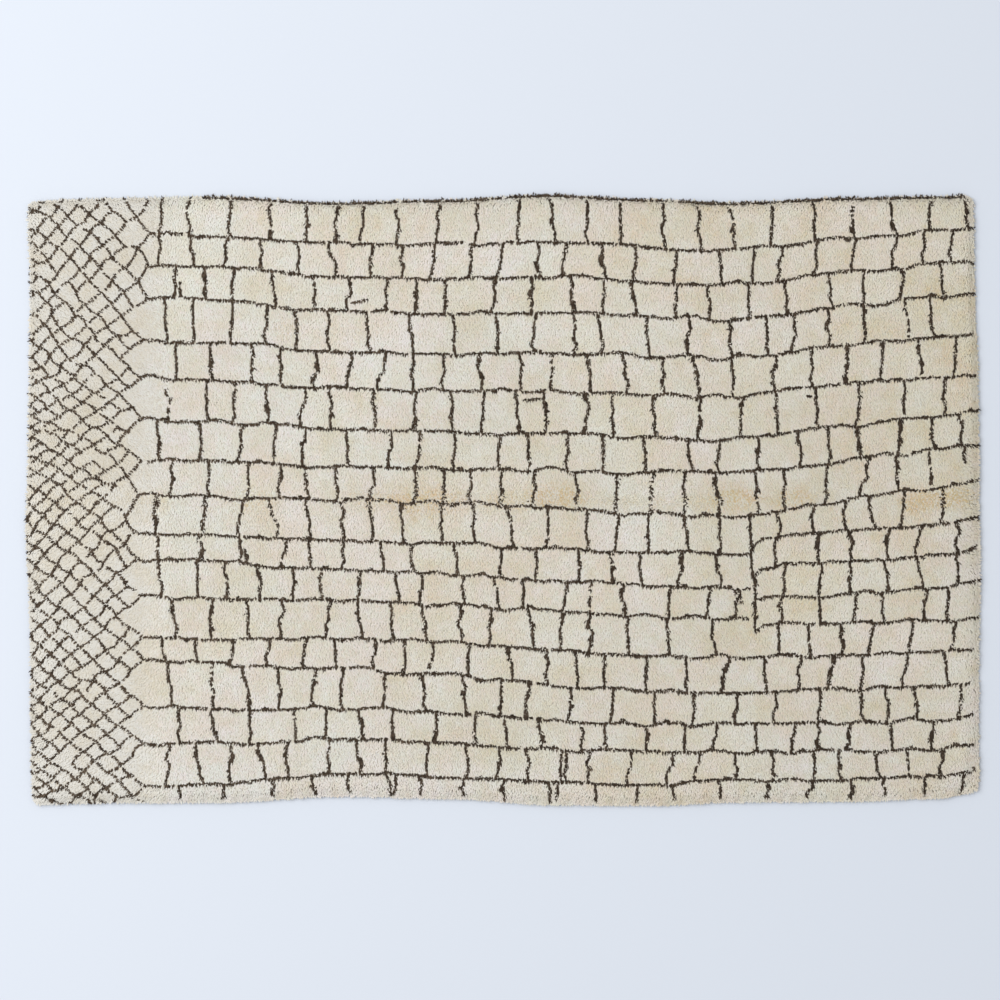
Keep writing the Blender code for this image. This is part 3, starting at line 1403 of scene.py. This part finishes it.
    def _along_rim(self, chance: np.random.Generator) -> tuple[np.ndarray, np.ndarray, np.ndarray]:
        """Ties one strand in each spacing along the rim, anywhere in it.

        Args:
            chance: what differs from strand to strand.

        Returns:
            Shares of the length and of the width, and the way out over the rim, in radians from +X.
        """
        sides = []
        for start, end, outward in (
            ((0, 0), (1, 0), -90.0),
            ((1, 0), (1, 1), 0.0),
            ((1, 1), (0, 1), 90.0),
            ((0, 1), (0, 0), 180.0),
        ):
            long = self.plan.length if outward in (-90.0, 90.0) else self.plan.width
            count = int(long / self.rim_habits.spacing)
            share = (np.arange(count) + chance.uniform(0.0, 1.0, count)) / count
            u = start[0] + (end[0] - start[0]) * share
            v = start[1] + (end[1] - start[1]) * share
            sides.append(np.stack([u, v, np.full(count, math.radians(outward))], 1))
        u, v, outward = np.concatenate(sides).T
        inset = chance.uniform(0.0, self.rim_habits.inset, len(u))
        u = np.clip(u, inset / self.plan.length, 1 - inset / self.plan.length)
        v = np.clip(v, inset / self.plan.width, 1 - inset / self.plan.width)
        return u, v, outward

    def _hang(self) -> Iterator[tuple[Wool, StrandBed]]:
        """Grows the strands that hang out over the rim.

        Yields:
            Each wool with its strands.
        """
        chance = np.random.default_rng(self.seed + 5)
        chart, habits = self.chart, self.rim_habits
        u, v, outward = self._along_rim(chance)
        count = len(u)
        x, y = self.plan.place(u, v)
        base = self.plan.bed(u, v, self.depth)
        heading = outward + chance.normal(0.0, habits.stray, count)
        wisp = habits.wisp * (chance.random(count) < habits.wisps)
        lean = self.lay.heading(x, y)
        from_u = u - habits.carried * np.cos(lean) / self.plan.length
        from_v = v - habits.carried * np.sin(lean) / self.plan.width
        column = np.clip((from_u * chart.columns).astype(int), 0, chart.columns - 1)
        row = np.clip((from_v * chart.rows).astype(int), 0, chart.rows - 1)
        dark = chart.dark[row, column] & (chance.random(count) < habits.dark)
        shades = {
            Wool.CREAM: self._cream_shade(x, y, chance.normal(0.0, habits.uneven, count), chance),
            Wool.DARK: DARK_FINISH.place(np.full(count, 0.5), -1),
        }
        for wool, chosen in ((Wool.CREAM, ~dark), (Wool.DARK, dark)):
            bed = StrandBed(
                root=np.stack([x, y, base], 1),
                heading=heading,
                reach=chance.uniform(*habits.reach, count) + wisp,
                rise=habits.rise + habits.steeper * base,
                width=self.width * chance.uniform(*habits.width, count),
                shade=shades[wool],
                droop=chance.uniform(*habits.droop, count),
                tilt=np.full(count, habits.tilt),
            )
            yield wool, bed.part(chosen)

    def build(self) -> list[bpy.types.Object]:
        """Makes every piece of the pile.

        Returns:
            The pieces, each of one wool.
        """
        finishes = {Wool.CREAM: CREAM_FINISH.material(), Wool.DARK: DARK_FINISH.material()}
        grown, dark = self._grow()
        for wool, chosen in ((Wool.CREAM, ~dark), (Wool.DARK, dark)):
            bed = grown.part(chosen)
            order = np.argsort(bed.root[:, 0], kind="stable")
            for number, some in enumerate(np.array_split(order, math.ceil(len(order) / self.most)), 1):
                self._add(bed.part(some), f"{wool.name.lower()}_pile_{number}", finishes[wool])
        for wool, bed in self._hang():
            self._add(bed, f"{wool.name.lower()}_rim", finishes[wool])
        return self.pieces

    def _add(self, bed: StrandBed, name: str, finish: bpy.types.Material) -> None:
        """Makes one piece of the pile.

        Args:
            bed: its strands.
            name: of the piece.
            finish: the look of its wool.
        """
        piece = bed.mesh(name)
        piece.data.materials.append(finish)
        self.pieces.append(piece)
        LOG.info("%s: %d strands", name, len(bed.heading))


@dataclass
class GroundWeave:
    """The ground weave with the thick feet of the pile on it, flat below and lumpy above.

    Attributes:
        plan: the rug's outline.
        columns: squares along it.
        rows: squares across it.
        depth: how far under the pile's top it ends, away from the rim.
        fall: width of the rim over which it falls away.
        drawn_in: its size as a share of the pile's outline.
    """

    plan: RugPlan
    columns: int = 180
    rows: int = 116
    depth: float = 0.00225
    fall: float = 0.026
    drawn_in: float = 0.9985

    def build(self) -> bpy.types.Object:
        """Makes the weave as one closed mesh.

        Returns:
            The object, in the scene.
        """
        u, v = np.meshgrid(np.linspace(0, 1, self.columns + 1), np.linspace(0, 1, self.rows + 1))
        u, v = u.reshape(-1), v.reshape(-1)
        x, y = self.plan.place(u, v)
        z = self.plan.bed(u, v, self.depth, self.fall)
        x, y = x * self.drawn_in, y * self.drawn_in

        wide = self.columns + 1
        row, column = np.divmod(np.arange(self.columns * self.rows), self.columns)
        first = row * wide + column
        squares = np.stack([first, first + 1, first + 1 + wide, first + wide], 1)
        around = [
            *range(wide - 1),
            *range(wide - 1, self.rows * wide + wide - 1, wide),
            *range(self.rows * wide + wide - 1, self.rows * wide, -1),
            *range(self.rows * wide, 0, -wide),
        ]
        count = len(x)
        points = [*zip(x, y, z), *((x[i], y[i], 0.0) for i in around)]
        faces = [list(square) for square in squares.tolist()]
        for step, corner in enumerate(around):
            after = (step + 1) % len(around)
            faces.append([corner, count + step, count + after, around[after]])
        faces.append([count + step for step in reversed(range(len(around)))])
        data = bpy.data.meshes.new("ground_weave")
        data.from_pydata(points, [], faces)
        data.shade_smooth()
        data.set_sharp_from_angle(angle=0.8)
        data.update()
        data.materials.append(self._finish())
        return in_scene("ground_weave", data)

    def _finish(self) -> bpy.types.Material:
        """Makes the weave's wool: cream, painted a little darker as the shade deep in the pile, with a rib
        for each row of knots.

        Returns:
            The material.
        """
        made = matte_finish("ground_weave_wool", roughness=0.95, gloss=0.15)
        nodes, links = made.node_tree.nodes, made.node_tree.links
        place = nodes.new("ShaderNodeTexCoord")
        patch = nodes.new("ShaderNodeTexNoise")
        patch.inputs["Scale"].default_value = 30.0
        patch.inputs["Detail"].default_value = 2.0
        links.new(place.outputs["Object"], patch.inputs["Vector"])
        # Cream wool, deeper than the strands' tips: painted shade of the pile's depths, like the strands'
        # darkened roots.
        shade = nodes.new("ShaderNodeValToRGB")
        shade.color_ramp.elements[0].color = (0.72, 0.66, 0.55, 1.0)
        shade.color_ramp.elements[1].color = (0.78, 0.73, 0.63, 1.0)
        links.new(patch.outputs["Fac"], shade.inputs["Fac"])
        links.new(shade.outputs["Color"], nodes[SHADER].inputs["Base Color"])
        ribs = nodes.new("ShaderNodeTexWave")
        ribs.bands_direction = "Y"
        ribs.inputs["Scale"].default_value = 41.0
        ribs.inputs["Distortion"].default_value = 1.2
        ribs.inputs["Detail Scale"].default_value = 6.0
        links.new(place.outputs["Object"], ribs.inputs["Vector"])
        add_bump(made, ribs.outputs["Fac"], strength=0.6, depth=0.0015)
        return made


@dataclass
class Studio:
    """The pale floor under the rug, the soft light from the upper left, and the camera overhead.

    Attributes:
        camera_height: over the floor.
        frame_width: of the floor that the camera takes in.
        centre: the place on the floor under the camera.
        floor_width: of the square floor.
        floor_drop: how far under the rug's underside the floor is, so that they don't lie in one plane.
        light_place: where the large soft light hangs.
        light_size: of each of its sides.
        light_power: in watts.
        room_light: strength of the light from all round.
    """

    camera_height: float = 9.0
    frame_width: float = 3.165
    centre: tuple[float, float] = (-0.0072, -0.0035)
    floor_width: float = 36.0
    floor_drop: float = 0.0005
    light_place: tuple[float, float, float] = (-7.0, 2.1, 8.6)
    light_size: float = 10.0
    light_power: float = 928.0
    room_light: float = 0.63

    def build(self) -> bpy.types.Object:
        """Makes the floor, the lights and the camera.

        Returns:
            The floor.
        """
        half = self.floor_width / 2
        corners = [(-half, -half), (half, -half), (half, half), (-half, half)]
        data = bpy.data.meshes.new("studio_floor")
        data.from_pydata([(*corner, -self.floor_drop) for corner in corners], [], [(0, 1, 2, 3)])
        floor = in_scene("studio_floor", data)
        paint = matte_finish("floor_paint", roughness=0.8, gloss=0.1)
        paint.node_tree.nodes[SHADER].inputs["Base Color"].default_value = (0.71, 0.754, 0.828, 1.0)
        floor.data.materials.append(paint)
        self._light()
        world = bpy.data.worlds.new("soft_room")
        world.use_nodes = True
        world.node_tree.nodes["Background"].inputs["Color"].default_value = (0.98, 0.99, 1.0, 1.0)
        world.node_tree.nodes["Background"].inputs["Strength"].default_value = self.room_light
        bpy.context.scene.world = world
        bpy.context.scene.view_settings.view_transform = "Standard"
        self._camera()
        return floor

    def _light(self) -> None:
        """Hangs one large soft light that faces the rug's middle."""
        data = bpy.data.lights.new("window_light", "AREA")
        data.shape = "SQUARE"
        data.size = self.light_size
        data.energy = self.light_power
        light = in_scene("window_light", data)
        light.location = self.light_place
        light.rotation_euler = (-Vector(self.light_place)).to_track_quat("-Z", "Y").to_euler()

    def _camera(self) -> None:
        """Hangs the camera straight over the rug."""
        data = bpy.data.cameras.new("overhead_camera")
        data.sensor_width = 36.0
        data.lens = data.sensor_width * self.camera_height / self.frame_width
        data.clip_end = 100.0
        camera = in_scene("overhead_camera", data)
        camera.location = (*self.centre, self.camera_height)
        bpy.context.scene.camera = camera


def main() -> None:
    """Builds the rug's pieces in order and hands each to the frame."""
    logging.basicConfig(level=logging.INFO, format="%(name)s: %(message)s")
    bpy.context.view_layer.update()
    plan = RugPlan(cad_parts[NODE])
    chart = KnotChart()
    strip = DiamondStrip(chart)
    strip.knot()
    SquareNet(chart, strip).knot()
    LOG.info("dark knots: %.1f%%", 100 * chart.dark.mean())
    weave = GroundWeave(plan).build()
    pile = Pile(plan, chart, PileLay()).build()
    for piece in (weave, *pile):
        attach(piece, "root")
        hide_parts(NODE)
        LOG.info("%s: %d faces", piece.name, len(piece.data.polygons))
    Studio().build()


if __name__ == "__main__":
    main()
